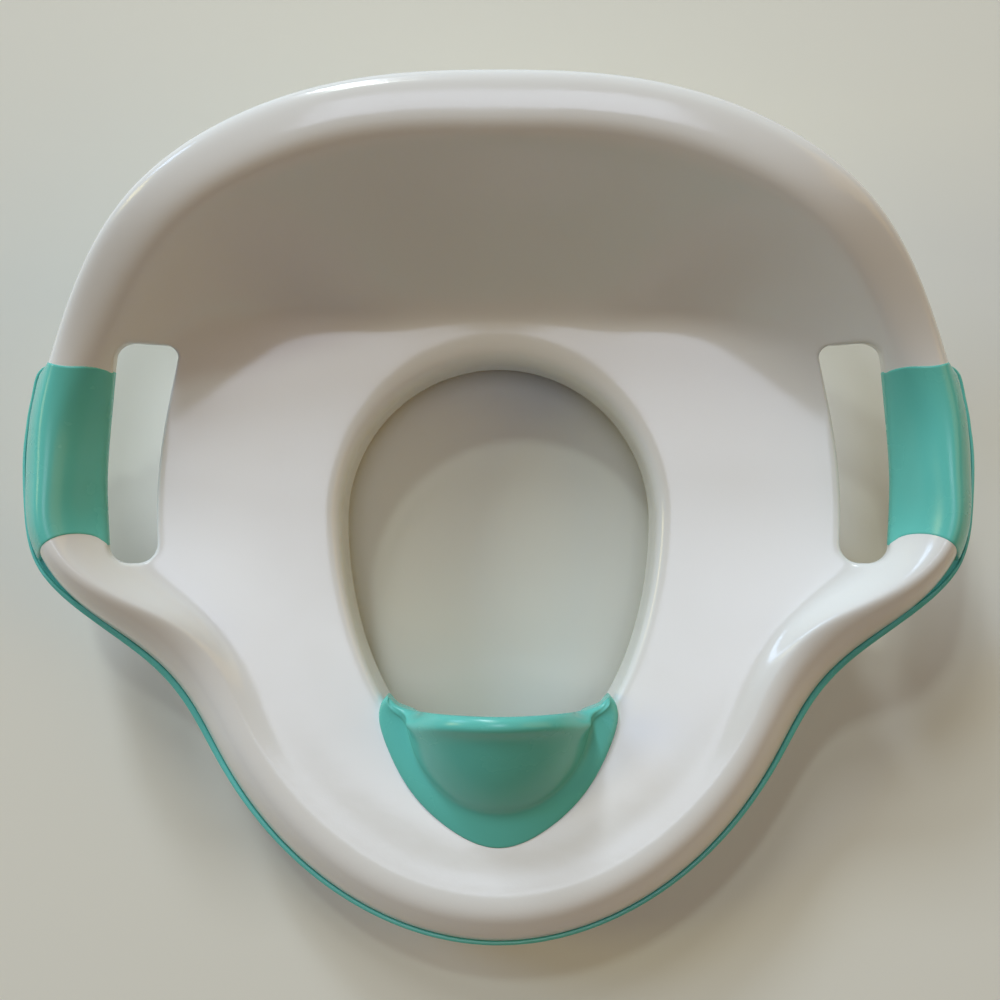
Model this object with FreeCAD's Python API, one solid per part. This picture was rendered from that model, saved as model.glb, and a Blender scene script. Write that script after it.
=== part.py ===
"""Potty training seat: a one-piece moulded shell with a high rolled-rim backrest, two side handles
cut out of its walls, and three soft parts: two grips, a non-slip edge and a splash guard.

Millimetres, +X across the seat, +Y towards the backrest, +Z up, standing on the locating collar.
The plan is drawn round a centre over the hole, in polar sections counted from the back.
"""
import FreeCAD, Part
import math
import os

Vec = FreeCAD.Vector

# Moulded sections of the right half, one line each:
# angle from the back, edge radius, edge height, crest radius, crest height,
# foot radius, foot height, side (0 where the wall is a backrest, 1 where it is a side or the front)
SECTIONS = [
    (0, 143.9, 107.0, 135.0, 129.5, 66.0, 49.5, 0.0),      # middle of the backrest
    (20, 149.7, 106.5, 141.0, 129.0, 70.0, 49.5, 0.0),
    (40, 161.3, 103.0, 152.5, 125.5, 85.0, 50.0, 0.0),     # backrest corner
    (52, 168.9, 95.0, 160.5, 117.0, 104.0, 50.5, 0.0),
    (64, 175.1, 80.0, 167.0, 98.5, 115.5, 51.0, 0.1),      # shoulder
    (75, 180.9, 64.0, 172.0, 83.5, 122.0, 51.3, 0.5),      # top of the handle
    (84, 186.4, 58.0, 175.0, 78.5, 126.5, 51.5, 0.9),
    (93, 186.8, 56.5, 175.8, 77.0, 130.0, 51.5, 1.0),      # middle of the handle
    (101, 184.8, 54.5, 172.5, 74.5, 131.0, 51.5, 1.0),     # bottom of the handle
    (108, 173.3, 49.5, 154.0, 68.5, 128.0, 51.3, 1.0),     # wing
    (116, 160.4, 43.5, 139.5, 60.5, 122.0, 50.8, 1.0),
    (124, 156.0, 39.0, 136.5, 55.5, 118.5, 50.0, 1.0),     # waist
    (136, 163.1, 35.5, 144.0, 52.5, 121.0, 49.3, 1.0),
    (150, 175.5, 34.0, 155.5, 51.0, 130.0, 48.8, 1.0),     # front lobe
    (165, 186.8, 33.2, 166.0, 50.2, 140.0, 48.4, 1.0),
    (180, 191.8, 33.0, 170.5, 50.0, 145.0, 48.2, 1.0),     # middle of the front
]
TURNS = 48                     # sections round the whole seat
WALL = 3.0                     # moulded wall

# Backrest: rolled rim and hollowed wall
BACK_SHOULDER = 12.0           # flat of the rim inside its crest
BACK_SHOULDER_FALL = 0.5
BACK_BOW = 5.0                 # how far the wall is hollowed behind its chord
BACK_ROLL = 8.0                # run of the bends at the rim and at the foot

# Sides and front: points of the roll from crest to foot, as shares of the way across and down
SIDE_ROLL = [(0.10, 0.05), (0.22, 0.28), (0.37, 0.72), (0.54, 0.95)]

# Hole: half a circle behind, half an ellipse in front
HOLE_HALF_WIDTH = 64.3
HOLE_FRONT = 107.0             # from its widest line to its front end
HOLE_OFFSET = -16.6            # its widest line, from the plan's centre
HOLE_EDGE_Z = 17.0             # lower edge of its wall
LIP_BACK = 11.0                # width of the lip's roll, behind and in front
LIP_FRONT = 3.5
LIP_BACK_Z = 48.3              # seat surface where the roll starts, behind and in front
LIP_FRONT_Z = 45.5
LIP_ROLL = [(0.45, 0.12), (0.08, 0.55), (0.0, 1.3)]    # points of the roll, in its own widths

# Handle slots: each side bows through three points, from the top line to the bottom line
SLOT_TOP_Y = 53.0
SLOT_BOTTOM_Y = -33.5
SLOT_INNER = [(126.2, SLOT_TOP_Y), (136.5, 12.0), (137.2, SLOT_BOTTOM_Y)]
SLOT_OUTER = [(146.2, SLOT_TOP_Y), (156.8, 5.0), (155.0, SLOT_BOTTOM_Y)]
SLOT_TOP_INNER_R = 3.5
SLOT_TOP_OUTER_R = 9.0
SLOT_BOTTOM_R = 8.0

# Soft grips, let into the handles: top line and rounded lower end, each from the slot outwards
GRIP_SKIN = 1.5
GRIP_SLOT_LAND = 0.9           # bare rim of the shell left along the slot
GRIP_TOP = [(154.0, 43.0), (161.0, 43.2), (168.0, 43.4), (177.3, 46.3), (187.0, 50.5)]
GRIP_TOP_Y = 41.9              # where the top line and the lower end leave the slot
GRIP_LOW_Y = -26.0
GRIP_NOSE = [(159.2, -23.2), (164.2, -21.6), (170.5, -22.4), (176.5, -26.0), (181.5, -31.2), (187.0, -37.5)]

# Non-slip edge
EDGE_START = 75.0              # angle of its upper ends
EDGE_STEPS = 42
EDGE_REACH = [(75, 0.3), (80, 3.7), (95, 3.9), (104, 3.6), (116, 3.4), (136, 3.0), (165, 2.6), (180, 2.4)]
EDGE_BEVEL = 0.7
EDGE_TUCK = 4.5                # how far it reaches under the shell
EDGE_HOOK = 1.5                # and up behind it
EDGE_DEPTH = 5.4               # how far it hangs below the shell
EDGE_GROOVE = 0.5              # dark line under the shell, down and in
EDGE_GROOVE_IN = 0.8

# Locating collar and ribs under the seat
COLLAR_GAP = 15.0              # outside the hole's edge
COLLAR_WALL = 2.6
RIB_ANGLES = (24, 58, 112, 134, 158)
RIB_THICK = 2.2
RIB_DEPTH = 12.0

# Splash guard, its right half from the upper corner round to the tip, one line each: turn,
# flange's edge, crease where the dome stands on it, bar along the top, rise of the bar, bar's radius
GUARD_SECTIONS = [
    (-30, 45.2, -87.2, 44.7, -87.7, 44.2, -88.2, 0.6, 1.2),
    (-22, 47.4, -90.0, 45.5, -90.4, 43.6, -90.8, 0.9, 1.9),
    (-12, 48.6, -93.5, 43.4, -93.9, 40.8, -93.3, 1.4, 2.4),
    (0, 48.8, -97.5, 39.5, -97.3, 36.8, -95.6, 3.6, 2.9),
    (22, 45.6, -108.5, 34.6, -110.2, 33.2, -95.6, 13.0, 3.2),
    (47, 34.0, -129.0, 24.9, -124.1, 24.5, -94.2, 25.0, 3.2),
    (68, 17.5, -143.6, 13.7, -131.5, 13.5, -93.5, 31.5, 3.2),
    (90, 0.0, -149.7, 0.0, -134.3, 0.0, -93.3, 34.0, 3.2),
]
GUARD_STEPS = 36
GUARD_TIP_Z = 48.3             # seat surface under the flange's edge, at its tip and at its sides
GUARD_SIDE_Z = 46.6
GUARD_FLANGE = 3.0             # thickness of the flange
GUARD_SKIN = 2.3               # thickness of the dome, measured across and down
GUARD_SINK = 8.0               # how far its wall is drawn below the seat before it is trimmed
GUARD_HOLLOW_RISE = 12.0       # rise of the bar from which the dome is fully hollow
BAR_OVERHANG = 1.3             # roll of the bar towards the hole, in its own radii

# What follows from them
FRONT_REACH = SECTIONS[-1][1] + EDGE_REACH[-1][1]
BACK_REACH = SECTIONS[0][1]
PLAN_CENTRE = Vec(0, (FRONT_REACH - BACK_REACH) / 2.0, 0)
TALL = 200.0                   # height of cutting tools, more than the seat's


def mix(a, b, share):
    return a + (b - a) * share


def table_curve(*columns):
    """A smooth closed curve through three columns of the table, read by the angle in degrees."""
    right = [(row[0], Vec(*[row[column] for column in columns])) for row in SECTIONS]
    left = [(360 - angle, value) for angle, value in reversed(right[1:-1])]
    stations = right + left
    curve = Part.BSplineCurve()
    curve.interpolate(
        Points=[value for _, value in stations],
        Parameters=[float(angle) for angle, _ in stations] + [360.0],
        PeriodicFlag=True,
    )
    return curve


EDGE_TABLE = table_curve(1, 2, 7)
CREST_TABLE = table_curve(3, 4, 7)
FOOT_TABLE = table_curve(5, 6, 7)


def at(table, angle):
    return tuple(table.value(angle % 360.0))


def hole_radius(angle, grow=0.0):
    """Distance from the plan's centre to the hole's edge, grown outwards by a margin."""
    turn = math.radians(angle)
    across = math.sin(turn)
    along = math.cos(turn)
    half = HOLE_HALF_WIDTH + grow
    back = HOLE_OFFSET * along + math.sqrt(half ** 2 - (HOLE_OFFSET * across) ** 2)
    if back * along >= HOLE_OFFSET:
        return back
    front = HOLE_FRONT + grow
    a = (across / half) ** 2 + (along / front) ** 2
    b = -2 * HOLE_OFFSET * along / front ** 2
    c = (HOLE_OFFSET / front) ** 2 - 1
    return (-b + math.sqrt(b * b - 4 * a * c)) / (2 * a)


def section(angle):
    """Control points of the outer skin, from the edge over the crest to the hole, as (radius, height)."""
    edge_r, edge_z, side = at(EDGE_TABLE, angle)
    crest_r, crest_z, _ = at(CREST_TABLE, angle)
    foot_r, foot_z, _ = at(FOOT_TABLE, angle)
    side = min(1.0, max(0.0, side))
    rise = crest_z - edge_z
    run = edge_r - crest_r
    drop = crest_z - foot_z
    reach = crest_r - foot_r
    chord = math.hypot(reach - BACK_SHOULDER, drop)
    inward = (reach - BACK_SHOULDER) / chord
    down = drop / chord

    def wall(along, bow, shares):
        """A point of the wall: down the backrest's chord and hollowed, or by the side roll's shares."""
        back_r = crest_r - BACK_SHOULDER - inward * along + down * bow * BACK_BOW
        back_z = crest_z - BACK_SHOULDER_FALL - down * along - inward * bow * BACK_BOW
        return mix(back_r, crest_r - shares[0] * reach, side), mix(back_z, crest_z - shares[1] * drop, side)

    hole = hole_radius(angle)
    behind = (1 + math.cos(math.radians(angle))) / 2
    lip = mix(LIP_FRONT, LIP_BACK, behind)
    lip_z = mix(LIP_FRONT_Z, LIP_BACK_Z, behind)
    lip_r = hole + lip
    return [
        (edge_r, edge_z),
        (edge_r - mix(0.02, 0.10, side) * run, edge_z + 0.29 * rise),
        (edge_r - mix(0.3, 0.31 * run, side), edge_z + 0.65 * rise),
        (edge_r - mix(0.12, 0.65, side) * run, crest_z + mix(0.8, -0.03 * rise, side)),
        (crest_r, crest_z + mix(1.0, 0.6, side)),
        wall(0.0, 0.0, SIDE_ROLL[0]),
        wall(BACK_ROLL, 0.2, SIDE_ROLL[1]),
        wall(0.45 * chord, 1.0, SIDE_ROLL[2]),
        wall(chord - 1.6 * BACK_ROLL, 0.6, SIDE_ROLL[3]),
        (foot_r, foot_z),
        (mix(foot_r, lip_r, 0.35), mix(foot_z, lip_z, 0.40)),
        (mix(foot_r, lip_r, 0.72), mix(foot_z, lip_z, 0.78)),
        (lip_r, lip_z),
    ] + [
        (hole + across * lip, lip_z - fall * lip) for across, fall in LIP_ROLL
    ] + [(hole, HOLE_EDGE_Z)]


def offset(points, height):
    """The same control points moved square to their legs: out of the skin, or into the wall if negative."""
    legs = []
    for (r0, z0), (r1, z1) in zip(points, points[1:]):
        length = math.hypot(r1 - r0, z1 - z0)
        legs.append(((r1 - r0) / length, (z1 - z0) / length))
    moved = []
    for index, (r, z) in enumerate(points):
        before = legs[max(index - 1, 0)]
        after = legs[min(index, len(legs) - 1)]
        out = Vec(before[1] + after[1], -(before[0] + after[0]), 0)
        cos_half = out.Length / 2.0
        out.normalize()
        moved.append((r + out.x * height / cos_half, z + out.y * height / cos_half))
    return moved


def place(radius, height, angle):
    turn = math.radians(angle)
    return Vec(radius * math.sin(turn), radius * math.cos(turn), height)


def spline(points, closed=False):
    """A smooth curve through points that are numbered evenly along it."""
    curve = Part.BSplineCurve()
    last = len(points) + 1 if closed else len(points)
    curve.interpolate(Points=points, Parameters=[float(i) for i in range(last)], PeriodicFlag=closed)
    return curve


def skin(height):
    """The moulded skin, at a height over the outer surface (negative in the wall), round the seat."""
    angles = [360.0 * i / TURNS for i in range(TURNS)]
    sections = [offset(section(angle), height) for angle in angles]
    count = len(sections[0])
    rings = [
        spline([place(*sec[j], angle) for sec, angle in zip(sections, angles)], closed=True)
        for j in range(count)
    ]
    surface = Part.BSplineSurface()
    surface.buildFromPolesMultsKnots(
        [ring.getPoles() for ring in rings],
        [4] + [1] * (count - 4) + [4],
        rings[0].getMultiplicities(),
        [float(i) for i in range(count - 2)],
        rings[0].getKnots(),
        False,
        True,
        3,
        3,
    )
    return surface


def boundary(surface, which):
    low, high, _, _ = surface.bounds()
    return surface.uIso(low if which == "outer" else high).toShape()


def sewn(faces):
    shell = Part.makeShell(faces)
    shell.sewShape()
    solid = Part.makeSolid(shell)
    if solid.Volume < 0:
        solid.reverse()
    return solid


def between(upper, lower):
    """The solid between two skins."""
    rims = [
        Part.makeRuledSurface(boundary(upper, which), boundary(lower, which))
        for which in ("outer", "inner")
    ]
    return sewn([upper.toShape(), lower.toShape()] + rims)


def flat_ring(edge, height):
    """The plan of a closed edge, laid at one height."""
    curve = edge.Curve.copy()
    for index, pole in enumerate(curve.getPoles(), start=1):
        curve.setPole(index, Vec(pole.x, pole.y, height))
    return curve.toShape()


def filled(height):
    """Everything under a skin, down to the floor: it trims what hangs under the seat or stands on it."""
    surface = skin(height)
    edges = [boundary(surface, which) for which in ("outer", "inner")]
    feet = [flat_ring(edge, 0.0) for edge in edges]
    walls = [Part.makeRuledSurface(edge, foot) for edge, foot in zip(edges, feet)]
    base = Part.makeFace([Part.Wire(foot) for foot in feet], "Part::FaceMakerBullseye")
    return sewn([surface.toShape(), base] + walls)


def both_sides(solid):
    return [solid, solid.mirror(Vec(0, 0, 0), Vec(1, 0, 0))]


def hole_outline(grow):
    """The hole's outline in plan, grown outwards: a half circle and a half ellipse."""
    centre = Vec(0, HOLE_OFFSET, 0)
    half = HOLE_HALF_WIDTH + grow
    long_way = Part.Ellipse(centre + Vec(0, -(HOLE_FRONT + grow), 0), centre + Vec(half, 0, 0), centre)
    back = Part.Arc(centre + Vec(half, 0, 0), centre + Vec(0, half, 0), centre + Vec(-half, 0, 0))
    ends = sorted(long_way.parameter(centre + Vec(x, 0, 0)) for x in (-half, half))
    front = Part.ArcOfEllipse(long_way, ends[0], ends[1])
    if front.value(sum(ends) / 2.0).y > centre.y:
        front = Part.ArcOfEllipse(long_way, ends[1], ends[0] + 2 * math.pi)
    return Part.Wire(Part.__sortEdges__([back.toShape(), front.toShape()]))


def collar(body):
    """Upright locating wall round the hole, which the seat stands on."""
    outer = Part.Face(hole_outline(COLLAR_GAP + COLLAR_WALL))
    inner = Part.Face(hole_outline(COLLAR_GAP))
    return outer.cut(inner).extrude(Vec(0, 0, TALL)).common(body)


def ribs(body):
    """Radial ribs under the seat, of one depth below it, from the collar to below the crest."""
    band = body.cut(body.translated(Vec(0, 0, -RIB_DEPTH)))
    plates = []
    for angle in RIB_ANGLES:
        start = hole_radius(angle, COLLAR_GAP + COLLAR_WALL / 2.0)
        end = at(CREST_TABLE, angle)[0]
        plate = Part.makeBox(RIB_THICK, end - start, TALL, Vec(-RIB_THICK / 2.0, start, 0))
        plate.rotate(Vec(0, 0, 0), Vec(0, 0, 1), -angle)
        plates.append(plate.common(band))
    return plates


def slot_prism():
    """The right handle's slot: two bowed sides and four round corners."""
    inner = [Vec(x, y, 0) for x, y in SLOT_INNER]
    outer = [Vec(x, y, 0) for x, y in SLOT_OUTER]
    edges = [
        Part.Arc(*inner).toShape(),
        Part.makeLine(inner[2], outer[2]),
        Part.Arc(*outer).toShape(),
        Part.makeLine(outer[0], inner[0]),
    ]
    prism = Part.Face(Part.Wire(Part.__sortEdges__(edges))).extrude(Vec(0, 0, TALL))
    rounded = ((inner[0], SLOT_TOP_INNER_R), (outer[0], SLOT_TOP_OUTER_R), (inner[2], SLOT_BOTTOM_R),
               (outer[2], SLOT_BOTTOM_R))
    for corner, radius in rounded:
        upright = [
            edge for edge in prism.Edges
            if all(math.hypot(v.X - corner.x, v.Y - corner.y) < 0.01 for v in edge.Vertexes)
        ]
        prism = prism.makeFillet(radius, upright)
    return prism


def beside_slot(y):
    """The point at one y on the line that leaves a narrow land along the slot's outer side."""
    bow = Part.Arc(*[Vec(x, y, 0) for x, y in SLOT_OUTER]).toShape().Curve
    x = bow.Center.x + math.sqrt((bow.Radius + GRIP_SLOT_LAND) ** 2 - (y - bow.Center.y) ** 2)
    return Vec(x, y, 0)


def grip_region():
    """Plan of the right grip, from its top line round the handle to the rounded end on the wing."""
    top = [beside_slot(GRIP_TOP_Y)] + [Vec(x, y, 0) for x, y in GRIP_TOP]
    low = [beside_slot(GRIP_LOW_Y)] + [Vec(x, y, 0) for x, y in GRIP_NOSE]
    sides = []
    for points in (top, low):
        side = Part.BSplineCurve()
        side.interpolate(points)
        sides.append(side.toShape())
    corners = [Vec(FRONT_REACH, low[-1].y, 0), Vec(FRONT_REACH, top[-1].y, 0)]
    edges = sides + [
        Part.Arc(top[0], beside_slot((GRIP_TOP_Y + GRIP_LOW_Y) / 2.0), low[0]).toShape(),
        Part.makeLine(low[-1], corners[0]),
        Part.makeLine(corners[0], corners[1]),
        Part.makeLine(corners[1], top[-1]),
    ]
    return Part.Face(Part.Wire(Part.__sortEdges__(edges))).extrude(Vec(0, 0, TALL))


def edge_reach(angle):
    """How far the non-slip edge stands out of the shell."""
    for (a0, reach0), (a1, reach1) in zip(EDGE_REACH, EDGE_REACH[1:]):
        if angle <= a1:
            return mix(reach0, reach1, (angle - a0) / (a1 - a0))
    return EDGE_REACH[-1][1]


def edge_section(angle):
    """Corners of the non-slip edge's section before the shell is cut out of it."""
    edge_r, edge_z = section(angle)[0]
    outer = edge_r + edge_reach(angle if angle <= 180 else 360 - angle)
    top = edge_z - EDGE_GROOVE
    bottom = edge_z - EDGE_DEPTH
    return [
        (edge_r - EDGE_TUCK, edge_z + EDGE_HOOK),
        (edge_r - EDGE_GROOVE_IN, edge_z + EDGE_HOOK),
        (edge_r - EDGE_GROOVE_IN, top),
        (outer - EDGE_BEVEL, top),
        (outer, top - EDGE_BEVEL),
        (outer, bottom + EDGE_BEVEL),
        (outer - EDGE_BEVEL, bottom),
        (edge_r - EDGE_TUCK, bottom),
    ]


def non_slip_edge(shell):
    """Soft edge from the top of one grip round the wings and the front to the other."""
    angles = [mix(EDGE_START, 360 - EDGE_START, i / EDGE_STEPS) for i in range(EDGE_STEPS + 1)]
    sections = [edge_section(angle) for angle in angles]
    corners = len(sections[0])
    lines = [
        spline([place(*sec[j], angle) for sec, angle in zip(sections, angles)]).toShape()
        for j in range(corners)
    ]
    faces = [Part.makeRuledSurface(lines[j], lines[(j + 1) % corners]) for j in range(corners)]
    for sec, angle in ((sections[0], angles[0]), (sections[-1], angles[-1])):
        loop = [place(*corner, angle) for corner in sec]
        faces.append(Part.Face(Part.makePolygon(loop + loop[:1])))
    return sewn(faces).cut(shell)


def guard_tables():
    """Smooth curves over the turn for the flange's edge, the crease, the bar, and its rise and radius."""
    right = GUARD_SECTIONS
    left = [
        (180 - turn, -foot_x, foot_y, -crease_x, crease_y, -bar_x, bar_y, rise, radius)
        for turn, foot_x, foot_y, crease_x, crease_y, bar_x, bar_y, rise, radius in reversed(right[:-1])
    ]
    rows = right + left
    curves = []
    for columns in ((1, 2), (3, 4), (5, 6), (7, 8)):
        curve = Part.BSplineCurve()
        curve.interpolate(
            Points=[Vec(row[columns[0]], row[columns[1]], 0) for row in rows],
            Parameters=[float(row[0]) for row in rows],
        )
        curves.append(curve)
    return curves


def guard_section(turn, tables):
    """Closed control polygon of the guard's wall: up its front, over the bar and down its hollow back."""
    foot, crease, bar, sizes = [table.value(turn) for table in tables]
    rise, radius = sizes.x, sizes.y
    towards = bar.sub(foot)
    towards.normalize()
    up_dome = bar.sub(crease)
    flange = crease.sub(foot)
    inside = min(radius, 0.28 * up_dome.Length)
    base = mix(GUARD_SIDE_Z, GUARD_TIP_Z, max(0.0, math.sin(math.radians(turn))) ** 2)
    deck = base + GUARD_FLANGE
    top = deck + rise
    hollow = min(1.0, rise / GUARD_HOLLOW_RISE)
    behind = bar + towards * BAR_OVERHANG * radius
    inner = crease + towards * GUARD_SKIN

    def back(point, height, plain_height):
        """A point of the hollow back, which closes to an upright wall where the bar is low."""
        return behind + (point - behind) * hollow, mix(plain_height, height, hollow)

    outline = [
        (foot, base - GUARD_SINK),
        (foot, base + 0.6),
        (foot + flange * 0.05, deck - 0.6),
        (foot + flange * 0.45, deck),
        (foot + flange * 0.85, deck + 0.2),
        (foot + flange * 1.06, deck + 0.6 + 0.04 * rise),
        (crease + up_dome * 0.10, deck + 0.4 + 0.20 * rise),
        (crease + up_dome * 0.50, deck + 0.4 + 0.62 * rise),
        (bar - towards * 1.6 * inside, top - 1.0 - 0.1 * rise),
        (bar - towards * 0.6 * inside, top + 0.35 * radius),
        (bar + towards * 0.4 * radius, top + 0.45 * radius),
        (behind, top + 0.1 * radius),
        (behind, top - 1.2 * radius),
        back(bar - towards * 0.3 * radius, top - 1.5 * radius, base + 1.0),
        back(inner + up_dome * 0.50, deck + 0.62 * rise - GUARD_SKIN, base - 1.0),
        back(inner + up_dome * 0.10, base + 0.20 * rise, base - 3.0),
        back(inner + up_dome * 0.08, base - GUARD_SINK, base - GUARD_SINK),
    ]
    return [Vec(point.x, point.y, z) for point, z in outline]


def splash_guard(body):
    """Half dome on a flange at the front of the hole, under an arched bar, hollow towards the hole."""
    first = GUARD_SECTIONS[0][0]
    tables = guard_tables()
    turns = [mix(first, 180 - first, i / GUARD_STEPS) for i in range(GUARD_STEPS + 1)]
    sections = [guard_section(turn, tables) for turn in turns]
    count = len(sections[0])
    rows = [spline([sec[j] for sec in sections]) for j in range(count)]
    surface = Part.BSplineSurface()
    surface.buildFromPolesMultsKnots(
        [row.getPoles() for row in rows],
        [1] * (count + 1),
        rows[0].getMultiplicities(),
        [float(i) for i in range(count + 1)],
        rows[0].getKnots(),
        True,
        False,
        3,
        3,
    )
    low, high = surface.bounds()[2:]
    caps = [Part.Face(Part.Wire(surface.vIso(level).toShape())) for level in (low, high)]
    return sewn([surface.toShape()] + caps).cut(body)


def largest(shape):
    """A cut can leave crumbs along a shared face: the piece is the one real solid."""
    return max(shape.Solids, key=lambda solid: solid.Volume)


def make_parts():
    top = skin(0.0)
    shell = between(top, skin(-WALL))
    middle_body = filled(-WALL / 2.0)
    below = [collar(middle_body)]
    for rib in ribs(middle_body):
        below += both_sides(rib)
    shell = shell.fuse(below)
    for slot in both_sides(slot_prism()):
        shell = shell.cut(slot)
    region = grip_region()
    grips = both_sides(between(top, skin(-GRIP_SKIN)).common(region))
    recess = filled(GRIP_SKIN * 2).cut(filled(-GRIP_SKIN)).common(region)
    for tool in both_sides(recess):
        shell = shell.cut(tool)
    edge = non_slip_edge(shell.fuse(grips))
    guard = splash_guard(filled(0.0))
    return {
        "seat_shell": largest(shell),
        "grip_right": largest(grips[0]),
        "grip_left": largest(grips[1]),
        "non_slip_edge": largest(edge),
        "splash_guard": largest(guard),
    }


os.makedirs("parts", exist_ok=True)
for name, shape in make_parts().items():
    shape.translate(PLAN_CENTRE)
    shape.exportStep(os.path.join("parts", name + ".step"))
    box = shape.BoundBox
    print(name, shape.isValid(), len(shape.Solids), round(shape.Volume / 1000.0, 1),
          [round(v, 1) for v in (box.XMin, box.XMax, box.YMin, box.YMax, box.ZMin, box.ZMax)])
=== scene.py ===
"""Potty training seat, dressed for rendering: dense smooth skins on the sections that the solids
have, with glossy white plastic, satin soft rubber, and the studio that it stands in.

Lengths are millimetres up to the mesh, which is in metres. Plan angles count from the backrest.
"""
import bpy
import math
import mathutils
import numpy as np
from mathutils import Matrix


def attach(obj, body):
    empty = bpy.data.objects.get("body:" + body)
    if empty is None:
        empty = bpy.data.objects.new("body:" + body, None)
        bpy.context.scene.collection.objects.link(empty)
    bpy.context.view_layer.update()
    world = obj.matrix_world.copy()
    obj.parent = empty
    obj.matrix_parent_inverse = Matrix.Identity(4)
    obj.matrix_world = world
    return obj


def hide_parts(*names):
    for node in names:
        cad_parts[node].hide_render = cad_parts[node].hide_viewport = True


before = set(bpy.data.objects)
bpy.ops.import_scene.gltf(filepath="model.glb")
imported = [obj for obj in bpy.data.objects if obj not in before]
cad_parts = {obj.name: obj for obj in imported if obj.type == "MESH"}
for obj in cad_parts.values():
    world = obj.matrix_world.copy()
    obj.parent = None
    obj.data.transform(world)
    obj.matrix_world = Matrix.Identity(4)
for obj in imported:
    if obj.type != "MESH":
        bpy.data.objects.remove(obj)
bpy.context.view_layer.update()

MM = 0.001

# Sections of the shell, as the solids have them, one line each: angle from the back, edge radius,
# edge height, crest radius, crest height, foot radius, foot height,
# side (0 where the wall is a backrest, 1 where it is a side or the front)
SECTIONS = np.array([
    (0, 143.9, 107.0, 135.0, 129.5, 66.0, 49.5, 0.0),      # middle of the backrest
    (20, 149.7, 106.5, 141.0, 129.0, 70.0, 49.5, 0.0),
    (40, 161.3, 103.0, 152.5, 125.5, 85.0, 50.0, 0.0),     # backrest corner
    (52, 168.9, 95.0, 160.5, 117.0, 104.0, 50.5, 0.0),
    (64, 175.1, 80.0, 167.0, 98.5, 115.5, 51.0, 0.1),      # shoulder
    (75, 180.9, 64.0, 172.0, 83.5, 122.0, 51.3, 0.5),      # top of the handle
    (84, 186.4, 58.0, 175.0, 78.5, 126.5, 51.5, 0.9),
    (93, 186.8, 56.5, 175.8, 77.0, 130.0, 51.5, 1.0),      # middle of the handle
    (101, 184.8, 54.5, 172.5, 74.5, 131.0, 51.5, 1.0),     # bottom of the handle
    (108, 173.3, 49.5, 154.0, 68.5, 128.0, 51.3, 1.0),     # wing
    (116, 160.4, 43.5, 139.5, 60.5, 122.0, 50.8, 1.0),
    (124, 156.0, 39.0, 136.5, 55.5, 118.5, 50.0, 1.0),     # waist
    (136, 163.1, 35.5, 144.0, 52.5, 121.0, 49.3, 1.0),
    (150, 175.5, 34.0, 155.5, 51.0, 130.0, 48.8, 1.0),     # front lobe
    (165, 186.8, 33.2, 166.0, 50.2, 140.0, 48.4, 1.0),
    (180, 191.8, 33.0, 170.5, 50.0, 145.0, 48.2, 1.0),     # middle of the front
])
WALL = 3.0                     # moulded wall

# Outer side of the rim, from the edge up to the crest: how far in, as shares of the run, and how
# far up, as shares of the rise. Of each pair the first is for the backrest, the second for the
# sides.
RIM_LOW_IN = (0.02, 0.10)
RIM_LOW_UP = 0.29
RIM_HIGH_IN = (0.3, 0.31)      # at the backrest in millimetres
RIM_HIGH_UP = 0.65
RIM_TOP_IN = (0.12, 0.65)
RIM_TOP_OVER = (0.8, -0.03)    # over the crest, at the backrest in millimetres
CREST_OVER = (1.0, 0.6)        # over the crest's height, in millimetres

# Backrest: rolled rim and hollowed wall
BACK_SHOULDER = 12.0           # flat of the rim inside its crest
BACK_SHOULDER_FALL = 0.5       # how far the wall starts below the crest
BACK_BOW = 5.0                 # how far the wall is hollowed behind its chord
BACK_BOW_SHARES = (0.0, 0.2, 1.0, 0.6)     # of it, at the wall's four points from the rim down
BACK_ROLL = 8.0                # run of the bend at the rim
BACK_MIDDLE = 0.45             # deepest point of the hollow, as a share of the way down
BACK_FOOT_ROLLS = 1.6          # run of the bend at the foot, in runs of the other

# Sides and front: points of the roll from crest to foot, as shares of the way across and down
SIDE_ROLL = [(0.10, 0.05), (0.22, 0.28), (0.37, 0.72), (0.54, 0.95)]
SHALLOW_DROP = 8.0             # below this drop the roll turns into a plain slope

# Seat between foot and lip, as shares of the way across and down
SEAT_POINTS = [(0.35, 0.40), (0.72, 0.78)]

# Hole: half a circle behind, half an ellipse in front
HOLE_HALF_WIDTH = 64.3
HOLE_FRONT = 107.0             # from its widest line to its front end
HOLE_OFFSET = -16.6            # its widest line, from the plan's centre
HOLE_EDGE_Z = 17.0             # lower edge of its wall
LIP_BACK = 11.0                # width of the lip's roll, behind and in front
LIP_FRONT = 3.5
LIP_BACK_Z = 48.3              # seat surface where the roll starts, behind and in front
LIP_FRONT_Z = 45.5
LIP_ROLL = [(0.45, 0.12), (0.08, 0.55), (0.0, 1.3)]    # points of the roll, in its own widths

# Handle slot: its sides bow through three points each, from the top line to the bottom line
SLOT_TOP_Y = 53.0
SLOT_BOTTOM_Y = -33.5
SLOT_INNER = [(126.2, SLOT_TOP_Y), (136.5, 12.0), (137.2, SLOT_BOTTOM_Y)]
SLOT_OUTER = [(146.2, SLOT_TOP_Y), (156.8, 5.0), (155.0, SLOT_BOTTOM_Y)]
SLOT_TOP_INNER_R = 3.5
SLOT_TOP_OUTER_R = 9.0
SLOT_BOTTOM_R = 8.0
SLOT_ROLL = 1.8                # rounding of its edge

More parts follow.
